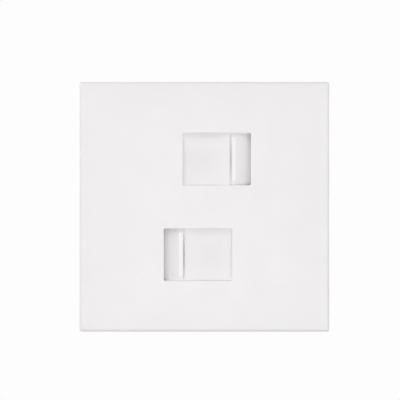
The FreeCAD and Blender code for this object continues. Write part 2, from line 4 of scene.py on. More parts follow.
import bmesh
import bpy
import numpy as np
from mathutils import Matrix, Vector


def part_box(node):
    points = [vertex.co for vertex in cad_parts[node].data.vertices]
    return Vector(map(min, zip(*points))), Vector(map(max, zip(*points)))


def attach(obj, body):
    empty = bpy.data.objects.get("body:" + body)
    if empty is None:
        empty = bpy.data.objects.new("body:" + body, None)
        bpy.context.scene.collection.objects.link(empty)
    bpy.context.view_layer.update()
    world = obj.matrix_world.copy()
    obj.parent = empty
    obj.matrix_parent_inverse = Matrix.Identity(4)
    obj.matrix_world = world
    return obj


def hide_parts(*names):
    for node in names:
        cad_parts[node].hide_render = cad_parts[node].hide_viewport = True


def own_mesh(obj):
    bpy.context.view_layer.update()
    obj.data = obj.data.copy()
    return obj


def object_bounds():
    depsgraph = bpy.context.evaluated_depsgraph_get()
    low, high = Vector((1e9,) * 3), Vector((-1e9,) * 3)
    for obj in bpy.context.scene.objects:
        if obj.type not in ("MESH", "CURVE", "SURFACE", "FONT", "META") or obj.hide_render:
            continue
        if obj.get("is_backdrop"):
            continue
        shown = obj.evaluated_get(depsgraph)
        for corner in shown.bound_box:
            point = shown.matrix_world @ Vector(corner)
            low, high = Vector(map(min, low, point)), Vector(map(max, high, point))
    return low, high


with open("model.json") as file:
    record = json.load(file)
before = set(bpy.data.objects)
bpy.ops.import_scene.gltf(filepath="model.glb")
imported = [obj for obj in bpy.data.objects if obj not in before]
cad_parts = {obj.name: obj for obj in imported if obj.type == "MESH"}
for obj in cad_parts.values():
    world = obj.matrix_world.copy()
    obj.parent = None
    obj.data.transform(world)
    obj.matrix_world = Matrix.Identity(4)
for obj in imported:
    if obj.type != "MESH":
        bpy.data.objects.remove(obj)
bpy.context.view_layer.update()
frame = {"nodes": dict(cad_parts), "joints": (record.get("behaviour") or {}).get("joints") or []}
print("stage: the fixed frame is in")

millimetre = 0.001
mergeReach, sliverLength = 1e-6, 1e-7       # metres: nearer points become one, shorter edges go


def carriedGrid(rows, columns, closed):
    # Quads between the neighbours of a rows by columns grid. A closed grid also joins its last column to its
    # first.
    index = np.arange(rows * columns).reshape(rows, columns)
    if closed:
        index = np.hstack([index, index[:, :1]])
    return np.stack([index[:-1, :-1], index[:-1, 1:], index[1:, 1:], index[1:, :-1]], -1).reshape(-1, 4)


def outline(left, low, right, high, rounds, stops, arcSteps):
    # A rectangle's outline, anticlockwise from its right side. Each side's points are the fixed stops,
    # clipped to the side's straight part. Each corner is a quarter circle about a centre set in by that
    # corner's rounding.
    rounds = np.broadcast_to(rounds, 4)
    across, along = stops
    turn = np.linspace(0, np.pi / 2, arcSteps + 1)[1:-1]
    highRight, highLeft, lowLeft, lowRight = rounds
    sides = [
        (np.full(along.shape, right), np.clip(along, low + lowRight, high - highRight)),
        (np.clip(across, left + highLeft, right - highRight)[::-1], np.full(across.shape, high)),
        (np.full(along.shape, left), np.clip(along, low + lowLeft, high - highLeft)[::-1]),
        (np.clip(across, left + lowLeft, right - lowRight), np.full(across.shape, low)),
    ]
    corners = [(right - highRight, high - highRight), (left + highLeft, high - highLeft),
               (left + lowLeft, low + lowLeft), (right - lowRight, low + lowRight)]
    x, z = [], []
    for number, ((sideX, sideZ), (cornerX, cornerZ), radius) in enumerate(zip(sides, corners, rounds)):
        angle = turn + number * np.pi / 2
        x += [sideX, cornerX + radius * np.cos(angle)]
        z += [sideZ, cornerZ + radius * np.sin(angle)]
    return np.concatenate(x), np.concatenate(z)


def loopsToGrid(loops):
    # Stacks outlines into one grid: row t is the outline t, at its own depth y.
    return np.stack([np.stack([x, np.broadcast_to(y, x.shape), z], -1) for x, y, z in loops])


def quarter(steps):
    # Sine and cosine pairs that run from 0 to a right angle, for a rounded edge.
    turn = np.linspace(0, np.pi / 2, steps + 1)
    return list(zip(np.sin(turn), np.cos(turn)))


def turned(profile, columns, centre):
    # A profile of (radius, depth) turned once about the line along y through the centre.
    radius, depth = np.array(profile, float).T
    angle = np.linspace(0, 2 * np.pi, columns, endpoint=False)
    return np.stack([centre[0] + radius[:, None] * np.cos(angle),
                     np.repeat(depth[:, None], columns, 1),
                     centre[1] + radius[:, None] * np.sin(angle)], -1)


def softBlock(low, high, rounding, endSteps=3, cornerSteps=4):
    # A block as one grid of outlines along its first axis: both ends draw in by 1 - sine as they near the
    # end face, which gives rounded edges, and close on a point in the middle of that face.
    (a0, b0, c0), (a1, b1, c1) = low, high
    stops = (np.array([b0, b1]), np.array([c0, c1]))
    rows = []
    for end, sign in ((a0, 1), (a1, -1)):
        side = []
        for sine, cosine in quarter(endSteps):
            inset = rounding * (1 - sine)
            b, c = outline(b0 + inset, c0 + inset, b1 - inset, c1 - inset, rounding * sine, stops,
                           cornerSteps)
            side.append(np.stack([np.full(b.shape, end + sign * rounding * (1 - cosine)), b, c], -1))
        middle = np.broadcast_to([end, (b0 + b1) / 2, (c0 + c1) / 2], side[0].shape)
        side.insert(0, middle)
        rows += side if sign > 0 else side[::-1]
    return np.stack(rows)


def smoothLower(a, b, width):
    # The lower of two heights, less (width - their difference) squared over 4 widths where they are close.
    return np.minimum(a, b) - np.maximum(width - np.abs(a - b), 0) ** 2 / (4 * width)


def smoothHigher(a, b, width):
    # The higher of two heights with the same soft join.
    return -smoothLower(-a, -b, width)


def smoothStep(low, high, value):
    # 0 below low and 1 above high, with the cubic 3 t t - 2 t t t between them.
    share = np.clip((value - low) / (high - low), 0, 1)
    return share * share * (3 - 2 * share)


def makePiece(name, sheets, finish, cadNode, body, sharpAngle):
    # Joins the grids into one closed mesh, in metres. Doubles are merged, faces turned outwards, and folds
    # past the sharp angle, in degrees, stay crisp.
    points, faces, start = [], [], 0
    for grid, closed in sheets:
        rows, columns = grid.shape[:2]
        points.append(grid.reshape(-1, 3))
        faces.append(carriedGrid(rows, columns, closed) + start)
        start += rows * columns
    mesh = bpy.data.meshes.new(name)
    mesh.from_pydata((np.concatenate(points) * millimetre).tolist(), [], np.concatenate(faces).tolist())
    work = bmesh.new()
    work.from_mesh(mesh)
    bmesh.ops.remove_doubles(work, verts=work.verts, dist=mergeReach)
    bmesh.ops.dissolve_degenerate(work, edges=work.edges, dist=sliverLength)
    bmesh.ops.recalc_face_normals(work, faces=work.faces)
    work.to_mesh(mesh)
    work.free()
    mesh.shade_smooth()
    mesh.set_sharp_from_angle(angle=math.radians(sharpAngle))
    mesh.materials.append(finish)
    piece = bpy.data.objects.new(name, mesh)
    bpy.context.scene.collection.objects.link(piece)
    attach(piece, body)
    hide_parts(cadNode)
    return piece


def closedAlong(grid):
    # Adds a cap row at each end of a closed grid, with every point at the middle of that end's row.
    caps = [np.broadcast_to(row.mean(0), row.shape) for row in (grid[0], grid[-1])]
    return np.concatenate([caps[:1], grid, caps[1:]])


class Signal:
    # One output of a shader node. Python's operators on it add Math nodes.
    def __init__(self, graph, socket):
        self.graph, self.socket = graph, socket

    def joined(self, operation, first, second):
        # One Math node on two signals or numbers.
        return self.graph.node("ShaderNodeMath", {"operation": operation}, {0: first, 1: second})

    def __add__(self, other):
        return self.joined("ADD", self, other)

    def __sub__(self, other):
        return self.joined("SUBTRACT", self, other)

    def __rsub__(self, other):
        return self.joined("SUBTRACT", other, self)

    def __mul__(self, other):
        return self.joined("MULTIPLY", self, other)


class Graph:
    # A node tree that is filled from Python.
    def __init__(self, tree):
        self.tree = tree
        tree.nodes.clear()

    def node(self, kind, settings, sockets, output=0):
        # A new node: its settings first, then a value or a link for each named or numbered socket.
        made = self.tree.nodes.new(kind)
        for key, setting in settings.items():
            setattr(made, key, setting)
        for key, given in sockets.items():
            if isinstance(key, int):
                socket = made.inputs[key]
            else:
                socket = next(found for found in made.inputs if found.name == key and found.enabled)
            if isinstance(given, Signal):
                self.tree.links.new(given.socket, socket)
            else:
                socket.default_value = given
        enabled = [found for found in made.outputs if found.enabled]
        if not enabled:
            return None
        return Signal(self, made.outputs[output] if isinstance(output, str) else enabled[output])

    def noise(self, place, size, detail=2.0, roughness=0.5):
        # Noise with features about as wide as size, in millimetres.
        return self.node("ShaderNodeTexNoise", {}, {"Vector": place, "Scale": 1 / (size * millimetre),
                                                   "Detail": detail, "Roughness": roughness}, "Fac")

    def blend(self, factor, first, second):
        # The first colour where the factor is 0 and the second where it is 1.
        return self.node("ShaderNodeMix", {"data_type": "RGBA"}, {"Factor": factor, "A": first, "B": second})

    def spread(self, signal, low, high):
        # Carries 0.3 to 0.7, where most of a noise lies, to low to high.
        return self.node("ShaderNodeMapRange", {}, {"Value": signal, "From Min": 0.3, "From Max": 0.7,
                                                    "To Min": low, "To Max": high})


def tone(red, green, blue):
    # A colour written as 0 to 255 display values, as the linear values that shaders take.
    shares = np.array([red, green, blue]) / 255
    linear = np.where(shares <= 0.04045, shares / 12.92, ((shares + 0.055) / 1.055) ** 2.4)
    return (*linear.tolist(), 1.0)


def newFinish(name):
    # A new material and its empty graph.
    finish = bpy.data.materials.new(name)
    finish.use_nodes = True
    return finish, Graph(finish.node_tree)


def closeFinish(graph, sockets):
    # Ends a finish with one Principled shader that takes these sockets.
    surface = graph.node("ShaderNodeBsdfPrincipled", {}, sockets)
    graph.node("ShaderNodeOutputMaterial", {}, {"Surface": surface})


def mouldedPlastic(name, look):
    # Moulded plastic: faint cloudy colour, patches of more and less gloss, and a fine skin left by the tool.
    finish, graph = newFinish(name)
    place = graph.node("ShaderNodeTexCoord", {}, {}, "Object")
    cloud = graph.noise(place, look["cloudSize"], 3.0)
    grain = graph.noise(place, look["grainSize"], 2.0, 0.6)
    flow = graph.noise(graph.node("ShaderNodeVectorMath", {"operation": "MULTIPLY"},
                                  {0: place, 1: look["flowStretch"]}), look["flowSize"], 2.0)
    light, dark = tone(*look["light"]), tone(*look["dark"])
    colour = graph.blend(graph.spread(cloud, 0.0, 1.0), light, dark)
    rough = graph.spread(flow, look["gloss"][0], look["gloss"][1]) + (grain - 0.5) * look["grainRough"]
    if "polishAndHighlight" in look:
        # Painted shade: the door's colour is drawn towards a darker one in the middle of its dish.
        paintedDishShade = graph.node("ShaderNodeAttribute", {"attribute_name": "paintedDishShade"}, {}, "Fac")
        colour = graph.blend(paintedDishShade, colour, tone(*look["paintedDishShade"]))
        # A painted highlight: the bar's flat top is drawn to a lighter colour, and its polish also makes it
        # less rough.
        polishAndHighlightShare = graph.node("ShaderNodeAttribute", {"attribute_name": "polishAndHighlight"}, {}, "Fac")
        colour = graph.blend(polishAndHighlightShare, colour, tone(*look["polishAndHighlight"]))
        rough = rough * (1 - polishAndHighlightShare * look["polishGain"])
    relief = grain * look["grainShare"] + flow * (1 - look["grainShare"])
    bump = graph.node("ShaderNodeBump", {}, {"Height": relief, "Strength": 1.0,
                                             "Distance": look["skinDepth"] * millimetre})
    closeFinish(graph, {"Base Color": colour, "Roughness": rough, "Normal": bump, "IOR": look["bend"]})
    return finish


def platedSteel(name, look):
    # Plated or drawn steel: fine lines along the work, and a drift of the plating from cool to warm.
    finish, graph = newFinish(name)
    place = graph.node("ShaderNodeTexCoord", {}, {}, "Object")
    drift = graph.noise(place, look["driftSize"], 3.0)
    lines = graph.noise(graph.node("ShaderNodeVectorMath", {"operation": "MULTIPLY"},
                                   {0: place, 1: look["lineStretch"]}), look["lineSize"], 3.0, 0.6)
    colour = graph.blend(graph.spread(drift, 0.0, 1.0), tone(*look["cool"]), tone(*look["warm"]))
    rough = graph.spread(lines, look["gloss"][0], look["gloss"][1])
    bump = graph.node("ShaderNodeBump", {}, {"Height": lines, "Strength": 1.0,
                                             "Distance": look["lineDepth"] * millimetre})
    closeFinish(graph, {"Base Color": colour, "Roughness": rough, "Normal": bump, "Metallic": 1.0})
    return finish


finishes = {
    "cover": {"light": (241, 239, 240), "dark": (239, 237, 238), "cloudSize": 14.0, "grainSize": 0.35,
              "flowSize": 3.0, "flowStretch": (1.0, 1.0, 0.35), "gloss": (0.36, 0.42), "grainRough": 0.04,
              "grainShare": 0.6, "skinDepth": 0.004, "bend": 1.46},
    # The door's third colour is the painted shade of its dish, and its fourth the painted highlight on the
    # bar's top.
    "door": {"light": (244, 242, 243), "dark": (242, 240, 241), "paintedDishShade": (235, 233, 234),
             "polishAndHighlight": (243, 242, 242), "polishGain": 0.15, "cloudSize": 9.0, "grainSize": 0.3,
             "flowSize": 2.0, "flowStretch": (0.5, 1.0, 1.0), "gloss": (0.38, 0.46), "grainRough": 0.04,
             "grainShare": 0.6, "skinDepth": 0.004, "bend": 1.46},
    "frame": {"light": (234, 234, 233), "dark": (229, 229, 227), "cloudSize": 11.0, "grainSize": 0.22,
              "flowSize": 4.0, "flowStretch": (0.4, 1.0, 1.0), "gloss": (0.5, 0.62), "grainRough": 0.12,
              "grainShare": 0.8, "skinDepth": 0.02, "bend": 1.46},
    "housing": {"light": (236, 236, 235), "dark": (231, 231, 229), "cloudSize": 8.0, "grainSize": 0.2,
                "flowSize": 3.0, "flowStretch": (1.0, 1.0, 0.4), "gloss": (0.48, 0.6), "grainRough": 0.12,
                "grainShare": 0.8, "skinDepth": 0.018, "bend": 1.46},
    "zinc": {"cool": (176, 181, 189), "warm": (190, 186, 174), "driftSize": 3.0, "lineSize": 0.25,
             "lineStretch": (1.0, 6.0, 1.0), "gloss": (0.22, 0.38), "lineDepth": 0.006},
    "wire": {"cool": (196, 200, 206), "warm": (206, 203, 196), "driftSize": 2.0, "lineSize": 0.08,
             "lineStretch": (1.0, 1.0, 1.0), "gloss": (0.2, 0.34), "lineDepth": 0.002},
}
coverPlastic = mouldedPlastic("coverPlastic", finishes["cover"])
doorPlastic = mouldedPlastic("doorPlastic", finishes["door"])
framePlastic = mouldedPlastic("framePlastic", finishes["frame"])
housingPlastic = mouldedPlastic("housingPlastic", finishes["housing"])
zincSteel = platedSteel("zincSteel", finishes["zinc"])
springWire = platedSteel("springWire", finishes["wire"])
for nodeName, finish in (("mounting_frame", framePlastic), ("upper_port_housing", housingPlastic),
                         ("lower_port_housing", housingPlastic)):
    for slot in frame["nodes"][nodeName].material_slots:
        slot.material = finish
print("stage: finishes are mixed")

coverSizes = {
    "edgeRound": 1.1, "cornerRound": 0.7, "edgeSteps": 7, "cornerSteps": 6, "windowSteps": 3,
    "wall": 1.6, "under": 6.7, "lipUnder": 7.5, "rimHeight": 0.2, "rimEase": 0.12,
    "windowAcross": 23.46, "windowAlong": 18.05, "windowShift": 3.27,
    "windowRound": 0.65, "windowEase": 0.06, "windowSeam": 0.15,
    "portShift": 1.0, "portPitch": 32.9, "recess": (-27.07, -11.95, 17.45, 16.75),
    "pryTop": 1.7, "pryStops": (5, 8),
    "pegRadius": 2.0, "pegBore": 1.0, "pegInset": 8.0, "pegLow": 2.1, "pegEase": 0.2, "pegSides": 24,
    "ribWidth": 0.9, "ribRise": 1.2, "rooted": 0.4,
    "snapLength": 12.0, "snapReach": 0.8, "snapRise": 1.2, "snapHeight": 3.4, "sharpAngle": 35,
    "stopsAcross": (-99, -32, -22, -12, -5.5, -5.5, 0, 5.5, 5.5, 12, 22, 32, 99),
    "stopsAlong": (-99, -33, -25, -16, -8, 0, 0, 8, 16, 25, 33, 99),
}


def moduleBox(side, near, low, far, high, shift, pitch):
    # A module's rectangle in the plate: its own place for the upper port, half a turn round for the lower
    # one.
    if side > 0:
        return shift + near, pitch / 2 + low, shift + far, pitch / 2 + high
    return shift - far, -pitch / 2 - high, shift - near, -pitch / 2 - low


def coverSheets(sizes):
    # Two families of outlines, each stacked into a grid. Outside, the plate's square goes round the front
    # edge's quarter circle, down the side, over the rim and up the inner wall. Inside, for each half of the
    # plate, the half's rectangle closes on its window, goes down through it, out under its lip and back to
    # the inner wall. The pry slot is where the rim is lifted, at a few stops of its low side.
    low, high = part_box("cover_plate")
    half = (high.x - low.x) / 2 / millimetre
    front = -low.y / millimetre
    edge, corner, wall, under = sizes["edgeRound"], sizes["cornerRound"], sizes["wall"], sizes["under"]
    inner = half - wall
    across, along = np.array(sizes["stopsAcross"], float), np.array(sizes["stopsAlong"], float)
    stops = (across, along)
    arc = sizes["cornerSteps"]
    bends = arc - 1                                             # a corner's points, between its ends
    lowSide = 2 * (len(along) + bends) + len(across) + bends    # where an outline's low side starts
    inSlot = np.zeros(lowSide + len(across) + bends, bool)
    inSlot[lowSide + sizes["pryStops"][0]:lowSide + sizes["pryStops"][1]] = True

    skin = []
    for sine, cosine in quarter(sizes["edgeSteps"]):
        reach = half - edge + edge * sine
        x, z = outline(-reach, -reach, reach, reach, corner * sine, stops, arc)
        skin.append((x, -(front - edge + edge * cosine), z))
    ease, rim = sizes["rimEase"], sizes["rimHeight"]
    rimSteps = ((half, corner, rim + ease), (half - ease, corner - ease, rim),
                (inner + ease, 0, rim), (inner, 0, rim + ease))
    for reach, rounding, height in rimSteps:
        x, z = outline(-reach, -reach, reach, reach, rounding, stops, arc)
        skin.append((x, -np.where(inSlot, sizes["pryTop"] + height - rim, height), z))
    x, z = outline(-inner, -inner, inner, inner, 0, stops, arc)
    skin.append((x, -under, z))

    sheets = [(loopsToGrid(skin), True)]
    near = sizes["windowShift"] - sizes["windowAcross"] / 2
    far = sizes["windowShift"] + sizes["windowAcross"] / 2
    for side in (1, -1):
        window = moduleBox(side, near, -sizes["windowAlong"] / 2, far, sizes["windowAlong"] / 2,
                           sizes["portShift"], sizes["portPitch"])
        recess = moduleBox(side, *sizes["recess"], sizes["portShift"], sizes["portPitch"])
        ease, rounded = sizes["windowEase"], sizes["windowRound"]
        rounds = np.array([rounded, ease, ease, rounded] if side > 0 else [rounded] * 4)
        cell = (across, along[along >= 0] if side > 0 else along[along <= 0])

        def cellLoop(reach, height, cell=cell, side=side):
            x, z = outline(-reach, 0 if side > 0 else -reach, reach, reach if side > 0 else 0, 0, cell, arc)
            return x, -height, z

        def windowLoop(grown, height, cell=cell, window=window, rounds=rounds):
            x, z = outline(window[0] - grown, window[1] - grown, window[2] + grown, window[3] + grown,
                           rounds + grown, cell, arc)
            return x, -height, z

        loops = [cellLoop(half - edge, front), windowLoop(sizes["windowSeam"], front)]
        loops += [windowLoop(ease * (1 - sine), front - ease * (1 - cosine))
                  for sine, cosine in quarter(sizes["windowSteps"])]
        x, z = outline(*recess, 0, cell, arc)
        loops += [windowLoop(0, sizes["lipUnder"]), (x, -sizes["lipUnder"], z), (x, -under, z),
                  cellLoop(inner, under)]
        sheets.append((loopsToGrid(loops), True))

    # The pegs are bored posts, and the rib is a square ring through them. Both are rooted in the front wall.
    peg, bore, radius = half - sizes["pegInset"], sizes["pegBore"], sizes["pegRadius"]
    tip, ease = sizes["pegLow"], sizes["pegEase"]
    root, crest = under + sizes["rooted"], under - sizes["ribRise"]
    profile = [(bore, -tip), (radius - ease, -tip), (radius, -tip - ease), (radius, -root),
               (0, -root), (0, -crest), (bore, -crest), (bore, -tip)]
    for pegX in (-peg, peg):
        for pegZ in (-peg, peg):
            sheets.append((turned(profile, sizes["pegSides"], (pegX, pegZ)), True))
    outer, inside = peg + sizes["ribWidth"] / 2, peg - sizes["ribWidth"] / 2
    ribLoops = []
    for reach, height in ((outer, root), (outer, crest), (inside, crest), (inside, root), (outer, root)):
        x, z = outline(-reach, -reach, reach, reach, 0, stops, arc)
        ribLoops.append((x, -height, z))
    sheets.append((loopsToGrid(ribLoops), True))
    # A snap stands in from the middle of each inner wall: a six-sided profile carried along that wall.
    rise, reach, length = sizes["snapRise"], sizes["snapReach"], sizes["snapLength"]
    inward = np.array([-wall / 2, 0, reach, reach, 0, -wall / 2])
    height = sizes["snapHeight"] + rise * np.array([-1 / 2, -1 / 2, -1 / 6, 1 / 6, 1 / 2, 1 / 2])
    away = np.broadcast_to(inner - inward, (2, inward.size))
    run = np.repeat([[-length / 2], [length / 2]], inward.size, 1)
    for x, z in ((away, -run), (run, away), (-away, run), (-run, -away)):
        sheets.append((closedAlong(np.stack([x, np.broadcast_to(-height, x.shape), z], -1)), True))
    return sheets


makePiece("coverShell", coverSheets(coverSizes), coverPlastic, "cover_plate", "base",
          coverSizes["sharpAngle"])
print("stage: the cover is made")

doorSizes = {
    "near": -9.66, "half": 9.4, "foot": 7.75, "barNear": 8.45, "barFar": 9.85, "toe": 15.56,
    "top": 7.35, "under": 6.15, "dishAt": -0.355, "dishDepth": 0.7, "dishReach": 12.13,
    "barTop": 7.65, "barRoot": 6.1, "barLean": 0.3, "barHalf": 7.55, "step": 0.35, "steep": 8.0,
    "barEase": 0.08, "padEase": 0.05, "joinEase": 0.06, "rampEase": 0.04,
    "grooveDepth": 1.5, "grooveHalf": 9.0, "grooveEase": 0.05, "grooveSkin": 0.6,
    "toeTop": 5.35, "toeUnder": 3.85, "knee": 14.56, "rampRound": 16.0,
    "ledge": 8.6, "ledgeSteep": 3.0, "ledgeRise": 0.9, "ledgeSunk": 9.0, "bevel": 7.9, "bevelSlope": 0.12,
    "coarseStep": 0.6, "fineStep": 0.035, "fineAcross": 0.38, "fineAlong": 0.2,
    "railHalf": 10.6, "railLow": 5.6, "railTop": 6.6, "railEase": 0.15, "skirt": 1.2, "skirtEase": 0.1,
    "sunk": 0.05, "armNear": 10.56, "armFar": 12.56, "armHigh": 15.4, "armSunk": 0.3,
    "pusherLow": 3.85, "pusherTop": 7.25, "pusherNear": 11.9, "pusherEase": 0.25,
    "spigotRadius": 1.1, "spigotLength": 1.5, "spigotEase": 0.3, "spigotSunk": 0.2, "spigotSides": 24,
    "laneMiddle": 13.65, "laneHeight": 5.55,
    # The last line sets the band of painted highlight and polish on the bar, and the share of painted shade
    # beyond the dish.
    "polishAndHighlightSide": 0.2, "polishAndHighlightTop": 0.08, "paintedShadeBeyond": 0.5, "sharpAngle": 40,
}


def grooveFloor(v, sizes):
    # Height of the groove at the bar's foot: an arc cut by a wide disc that runs out at the groove's ends.
    deepest = sizes["grooveDepth"]
    disc = (sizes["grooveHalf"] ** 2 + deepest ** 2) / (2 * deepest)
    return sizes["top"] - deepest + disc - np.sqrt(disc ** 2 - v ** 2)


def doorTop(u, v, sizes):
    # Height of the door's face. The dish is a ball's cap. Between its end and the bar lies the lower of the
    # groove and a slope that rises by the step. The pad behind is the lowest of the door's top, the bar's
    # near wall and the ramp's arc, and sinks along one side by a bevel. The bar is the lowest of its flat
    # top and its four sides. The face is the highest of the three, and of a ledge along the other side,
    # each joined softly.
    depth, reach = sizes["dishDepth"], sizes["dishReach"]
    ball = (reach ** 2 + depth ** 2) / (2 * depth)
    fromMiddle = (u - sizes["dishAt"]) ** 2 + v ** 2
    dish = np.minimum(sizes["top"] - depth + ball - np.sqrt(ball ** 2 - fromMiddle), sizes["top"])
    bevel = sizes["bevelSlope"] * np.clip(-v - sizes["bevel"], 0, None)
    width = sizes["barNear"] - sizes["foot"]
    slope = sizes["top"] - sizes["step"] * (1 - (u - sizes["foot"]) / width) - bevel
    ease = sizes["grooveEase"]
    beyondFoot = smoothStep(sizes["foot"] - ease, sizes["foot"] + ease, u)
    dish = dish + (np.minimum(slope, grooveFloor(v, sizes)) - dish) * beyondFoot
    dish = np.where(u < sizes["barNear"], dish, 0)
    wall = sizes["barTop"] + (u - sizes["barNear"]) * (sizes["barTop"] - sizes["barRoot"]) / sizes["barLean"]
    run, drop, bend = sizes["toe"] - sizes["barFar"], sizes["top"] - sizes["toeTop"], sizes["rampRound"]
    chord = math.hypot(run, drop)
    sunk = math.sqrt(bend ** 2 - chord ** 2 / 4) / chord
    middleU = sizes["barFar"] + run / 2 - sunk * drop
    middleHeight = sizes["top"] - drop / 2 - sunk * run
    beyond = np.clip(u, sizes["barFar"], sizes["toe"]) - middleU
    ramp = middleHeight + np.sqrt(bend ** 2 - beyond ** 2)
    pad = smoothLower(ramp, sizes["top"] + 0 * u, sizes["rampEase"]) - bevel
    pad = smoothLower(pad, wall, sizes["padEase"])
    middle = (sizes["barTop"] + sizes["top"]) / 2
    farSide = middle + (sizes["barFar"] - u) * sizes["steep"]
    ends = middle + (sizes["barHalf"] - np.abs(v)) * sizes["steep"]
    ease = sizes["barEase"]
    flatAndNear = smoothLower(sizes["barTop"] + 0 * u, wall, ease)
    bar = smoothLower(flatAndNear, smoothLower(farSide, ends, ease), ease)
    ledge = np.minimum(ramp + sizes["ledgeRise"], sizes["top"])
    ledge = ledge - np.clip(sizes["ledge"] - v, 0, None) * sizes["ledgeSteep"]
    ledge = ledge - sizes["ledgeSunk"] * (1 - beyondFoot)
    face = smoothHigher(smoothHigher(dish, pad, sizes["padEase"]), bar, sizes["joinEase"])
    return smoothHigher(face, ledge, sizes["joinEase"])


def doorUnder(u, v, sizes):
    # Height of the door's back: a cone round the dish, flat within a quarter of its reach, then a wedge
    # under the bar with a rib round the groove, and then the ramp's own back.
    inner = sizes["dishReach"] / 4
    away = np.clip((np.hypot(u - sizes["dishAt"], v) - inner) / (sizes["dishReach"] - inner), 0, 1)
    cone = sizes["under"] - sizes["dishDepth"] * (1 - away)
    wedge = sizes["under"] - sizes["step"] * (sizes["barFar"] - u) / (sizes["barFar"] - sizes["foot"])
    fall = (sizes["under"] - sizes["toeUnder"]) / (sizes["knee"] - sizes["barFar"])
    ramp = np.maximum(sizes["under"] - (u - sizes["barFar"]) * fall, sizes["toeUnder"])
    back = np.where(u < sizes["foot"], cone, np.where(u < sizes["barFar"], wedge, ramp))
    skin = sizes["grooveSkin"]
    fromGroove = np.maximum(sizes["foot"] - u, u - sizes["barNear"])
    rib = grooveFloor(v, sizes) - skin + np.clip(fromGroove - skin, 0, None) * sizes["steep"]
    return np.minimum(back, rib)


def stations(marks, coarse, fine, reach):
    # Grid lines every coarse step, and every fine step within reach of each mark.
    low, high = marks[0], marks[-1]
    lines = [np.linspace(low, high, int((high - low) / coarse) + 1)]
    lines += [np.clip(np.arange(mark - reach, mark + reach + fine / 2, fine), low, high) for mark in marks]
    return np.unique(np.round(np.concatenate(lines), 3))


def doorSheets(side, node, sizes):
    # The face and the back are heights over one grid of across and along, closed by four rims. The rails,
    # the arm and the spigot are grids of their own.
    low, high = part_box(node)
    if side > 0:
        originX, originZ = low.x / millimetre - sizes["near"], low.z / millimetre + sizes["railHalf"]
    else:
        originX, originZ = high.x / millimetre + sizes["near"], high.z / millimetre - sizes["railHalf"]

    def placed(grid):
        # Carries (across, along, height) to the plate, turned by half a turn for the lower door.
        return np.stack([originX + side * grid[..., 0], -grid[..., 2], originZ + side * grid[..., 1]], -1)

    coarse, fine = sizes["coarseStep"], sizes["fineStep"]
    across = stations([sizes[mark] for mark in ("near", "foot", "barNear", "barFar", "toe")],
                      coarse, fine, sizes["fineAcross"])
    along = stations([-sizes["half"], -sizes["bevel"], -sizes["barHalf"],
                      sizes["barHalf"], sizes["ledge"], sizes["half"]], coarse, fine, sizes["fineAlong"])
    u, v = np.meshgrid(across, along, indexing="ij")
    top = np.stack([u, v, doorTop(u, v, sizes)], -1)
    back = np.stack([u, v, doorUnder(u, v, sizes)], -1)
    rims = [np.stack([top[0], back[0]]), np.stack([top[-1], back[-1]]),
            np.stack([top[:, 0], back[:, 0]]), np.stack([top[:, -1], back[:, -1]])]
    sheets = [(placed(grid), False) for grid in [top, back, *rims]]
    # Two side rails, two skirts, the arm that reaches into the spring's lane, and its pusher and spigot.
    near, half, railHalf = sizes["near"], sizes["half"], sizes["railHalf"]
    low, high = sizes["railLow"], sizes["railTop"]
    blocks = []
    for way in (1, -1):
        inner, outer = sorted((way * (half - sizes["sunk"]), way * railHalf))
        blocks.append(((near, inner, low), (sizes["armFar"], outer, high), sizes["railEase"]))
        inner, outer = sorted((way * (half - sizes["skirt"]), way * half))
        skirtTop = sizes["under"] + sizes["skirtEase"]
        blocks.append(((near, inner, low), (sizes["foot"], outer, skirtTop), sizes["skirtEase"]))
    blocks.append(((sizes["armNear"], railHalf - sizes["armSunk"], low),
                   (sizes["armFar"], sizes["armHigh"], high), sizes["railEase"]))
    blocks.append(((sizes["armNear"], sizes["pusherNear"], sizes["pusherLow"]),
                   (sizes["armFar"], sizes["armHigh"], sizes["pusherTop"]), sizes["pusherEase"]))
    sheets += [(placed(softBlock(*block)), True) for block in blocks]
    radius, ease = sizes["spigotRadius"], sizes["spigotEase"]
    start, tip = sizes["armNear"] + sizes["spigotSunk"], sizes["armNear"] - sizes["spigotLength"]
    spigot = turned([(0, start), (radius, start), (radius, tip + ease), (radius - ease, tip), (0, tip)],
                    sizes["spigotSides"], (sizes["laneMiddle"], sizes["laneHeight"]))
    sheets.append((placed(spigot[..., [1, 0, 2]]), True))
    return sheets, originX, originZ


def makeDoor(name, side, node, body, sizes):
    # The door's mesh, and two values at each of its points for its finish. The polished band is the bar's
    # flat top, clear of the door's height, where the colour is lifted to a painted highlight as well as made
    # glossier. The dish is painted darker towards its middle, a painted shade that leaves its rim lighter,
    # and beyond the dish's foot the face takes half of that darker colour.
    sheets, originX, originZ = doorSheets(side, node, sizes)
    door = makePiece(name, sheets, doorPlastic, node, body, sizes["sharpAngle"])
    points = np.empty(len(door.data.vertices) * 3)
    door.data.vertices.foreach_get("co", points)
    points = points.reshape(-1, 3) / millimetre
    across = side * (points[:, 0] - originX)
    # The band of painted highlight and lower roughness on the bar's flat top.
    fade, start = sizes["polishAndHighlightSide"], sizes["barTop"] - sizes["polishAndHighlightTop"]
    polishAndHighlight = smoothStep(sizes["barTop"] - fade, start, -points[:, 1])
    polishAndHighlight *= smoothStep(sizes["barNear"] - fade, sizes["barNear"], across)
    up = side * (points[:, 2] - originZ)
    # Painted shade: darker towards the middle of the dish, and half of that darker colour beyond its foot.
    away = np.hypot(across - sizes["dishAt"], up) / sizes["dishReach"]
    paintedDishShade = np.where(across < sizes["foot"], np.clip(1 - away, 0, 1), sizes["paintedShadeBeyond"])
    for key, values in (("polishAndHighlight", polishAndHighlight), ("paintedDishShade", paintedDishShade)):
        door.data.attributes.new(key, "FLOAT", "POINT").data.foreach_set("value", values)


